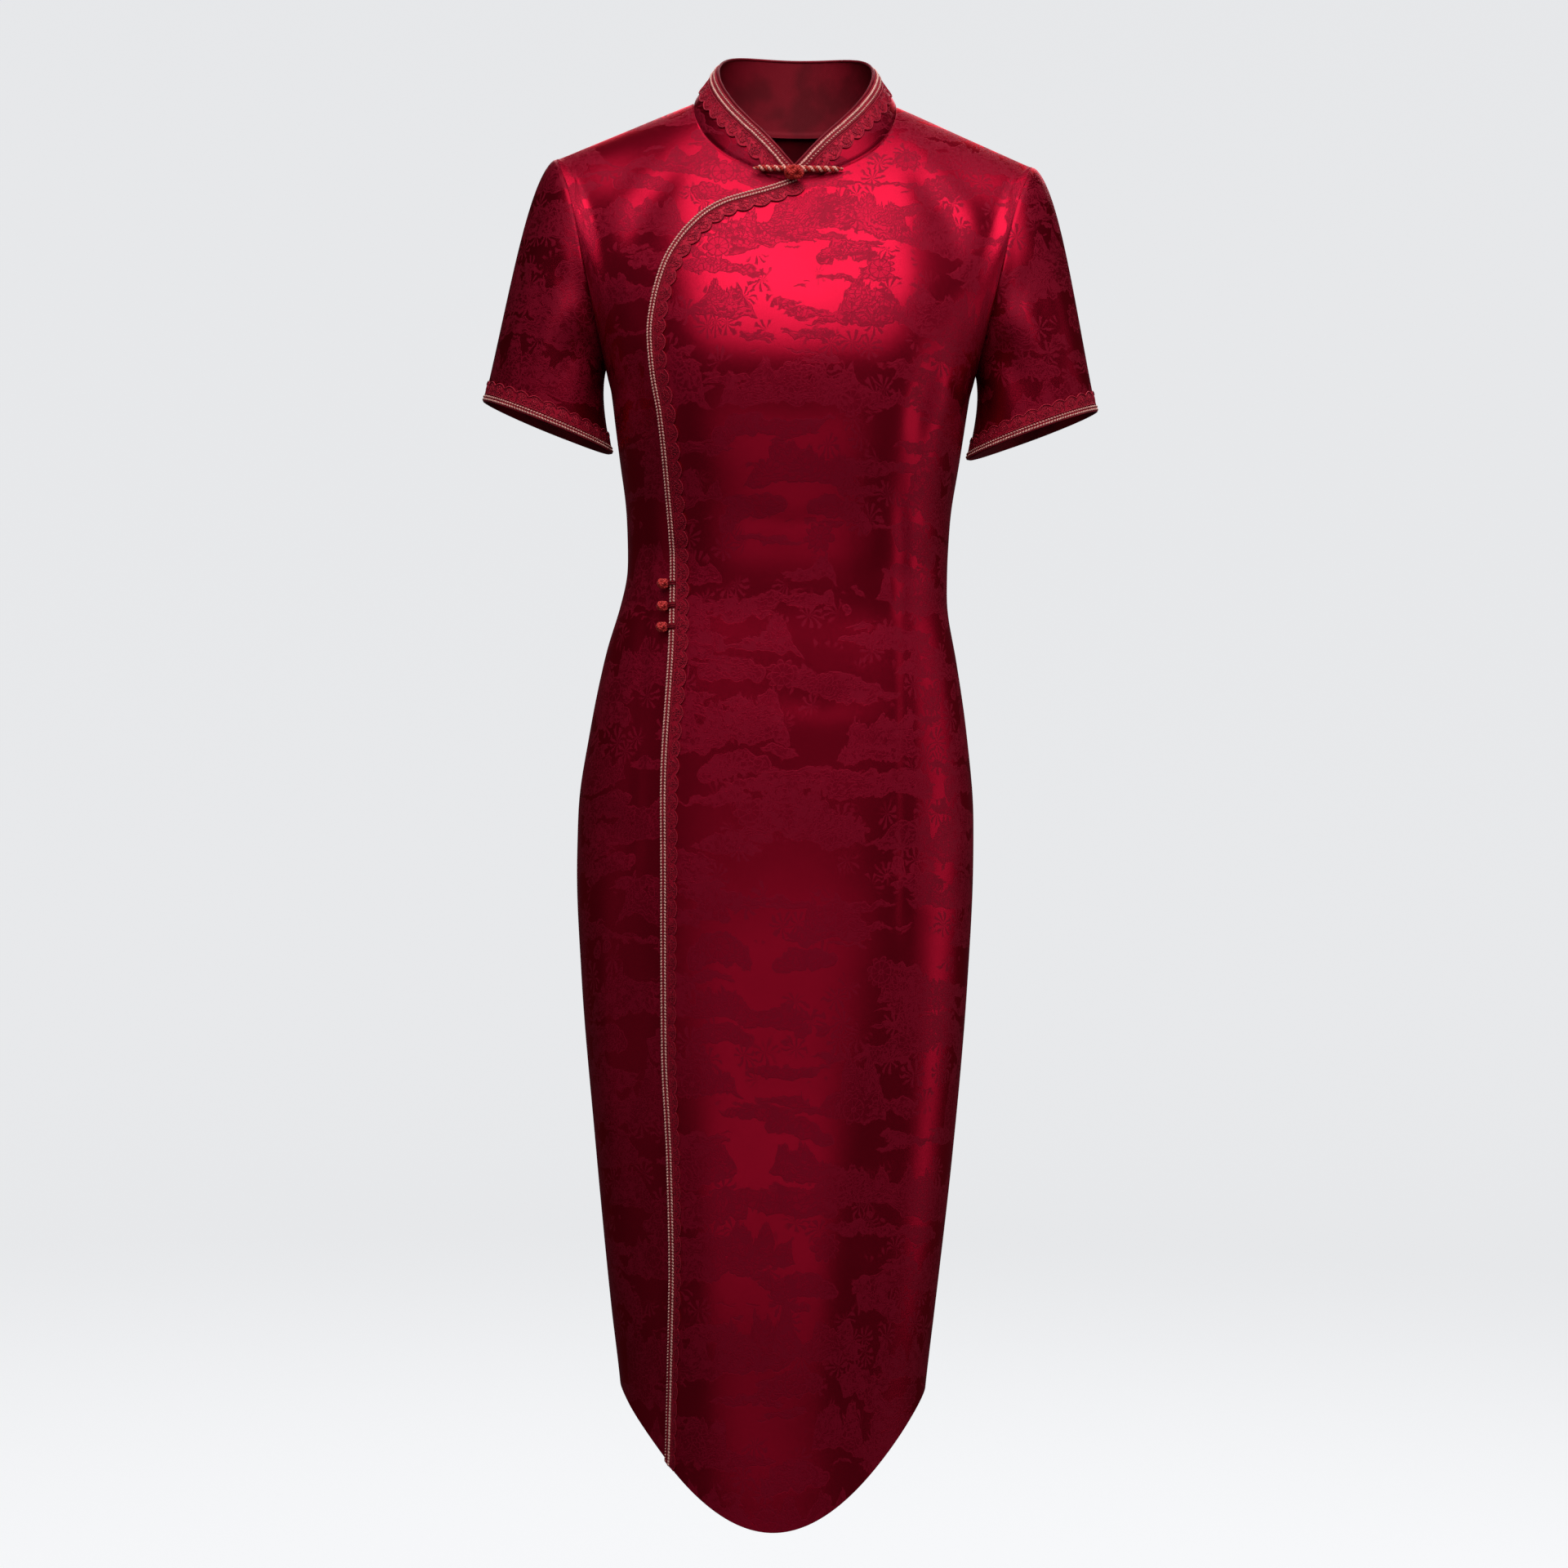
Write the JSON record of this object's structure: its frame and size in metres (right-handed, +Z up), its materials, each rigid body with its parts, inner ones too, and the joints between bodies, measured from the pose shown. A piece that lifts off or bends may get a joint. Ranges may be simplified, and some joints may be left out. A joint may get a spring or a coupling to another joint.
{
  "type": "cheongsam dress",
  "caption": "Mid-calf sheath dress with a stand collar, short set-in sleeves, a slanted front opening trimmed with braid and scalloped lace and a curved hem.",
  "frame": {"origin": "middle of the neck opening, level with the neck ends of the shoulder seams", "axes": "+Z up, +Y towards the wearer's back, +X towards the wearer's left"},
  "size_m": [0.4912, 0.2418, 1.1628],
  "materials": {
    "satin": "crimson satin jacquard",
    "collar_satin": "dark crimson satin jacquard",
    "lace": "matte dark red lace",
    "braid": "cream and gold chain braid on dark red",
    "frog_cord": "satin cord",
    "button": "knotted coral red cord"
  },
  "bodies": {
    "root": {"front_panel": "satin", "side_front_panel": "satin", "back_panel": "satin", "sleeve_right": "satin", "sleeve_left": "satin", "collar": "collar_satin", "placket_braid": "braid", "placket_lace": "lace", "collar_braid": "braid", "collar_lace": "lace", "cuff_braid_right": "braid", "cuff_braid_left": "braid", "cuff_lace_right": "lace", "cuff_lace_left": "lace", "frog_arm_right": "frog_cord", "frog_arm_left": "frog_cord", "frog_knot": "button", "waist_button_1": "button", "waist_button_2": "button", "waist_button_3": "button", "waist_loop_1": "collar_satin", "waist_loop_2": "collar_satin", "waist_loop_3": "collar_satin"}
  },
  "joints": []
}
